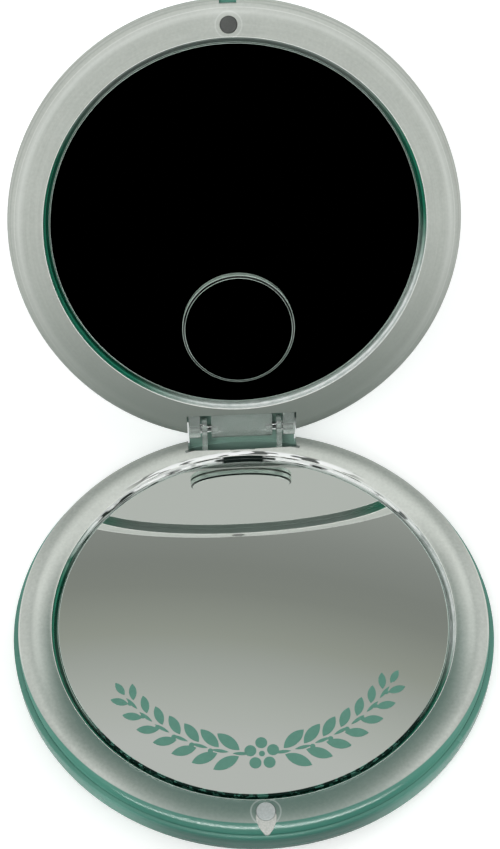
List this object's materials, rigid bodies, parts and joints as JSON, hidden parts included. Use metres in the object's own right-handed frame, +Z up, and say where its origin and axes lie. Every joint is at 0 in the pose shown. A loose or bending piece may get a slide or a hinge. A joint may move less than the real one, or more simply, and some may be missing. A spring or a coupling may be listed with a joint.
{
  "type": "compact mirror",
  "caption": "Round folding compact mirror, standing open, with a mirror in each half, a small magnifying mirror, magnetic catch and pin hinge.",
  "frame": {"origin": "centre of the flat underside of the base, on which the compact rests", "axes": "+Z up, away from the underside; +Y towards the hinge; +X to the right as seen from the front"},
  "size_m": [0.082, 0.118, 0.0808],
  "materials": {
    "cover_teal": "glossy moulded plastic with a slight pearl",
    "pearl_card": "pearly silver grey",
    "clear_frame": "clear moulded plastic",
    "magnet": "nickel plated",
    "tape": "white foam tape",
    "mirror_glass": "silvered glass with a ground edge",
    "ink": "screen printed ink",
    "pin_steel": "bright drawn steel"
  },
  "bodies": {
    "base": {"base_cover": "cover_teal", "base_liner": "pearl_card", "base_frame": "clear_frame", "base_magnet": "magnet", "base_mirror_tape": "tape", "base_mirror": "mirror_glass", "mirror_print": "ink"},
    "lid": {"lid_cover": "cover_teal", "lid_liner": "pearl_card", "lid_frame": "clear_frame", "lid_magnet": "magnet", "lid_mirror_tape": "tape", "lid_mirror": "mirror_glass", "spot_mirror_tape": "tape", "spot_mirror": "mirror_glass", "hinge_pin_left": "pin_steel", "hinge_pin_right": "pin_steel"}
  },
  "joints": [
    {"name": "lid_hinge", "type": "hinge", "parent": "base", "child": "lid", "pos_m": [0, 0.039, 0.0089], "axis": [-1, 0, 0], "range_deg": [-116.5, 22]}
  ]
}
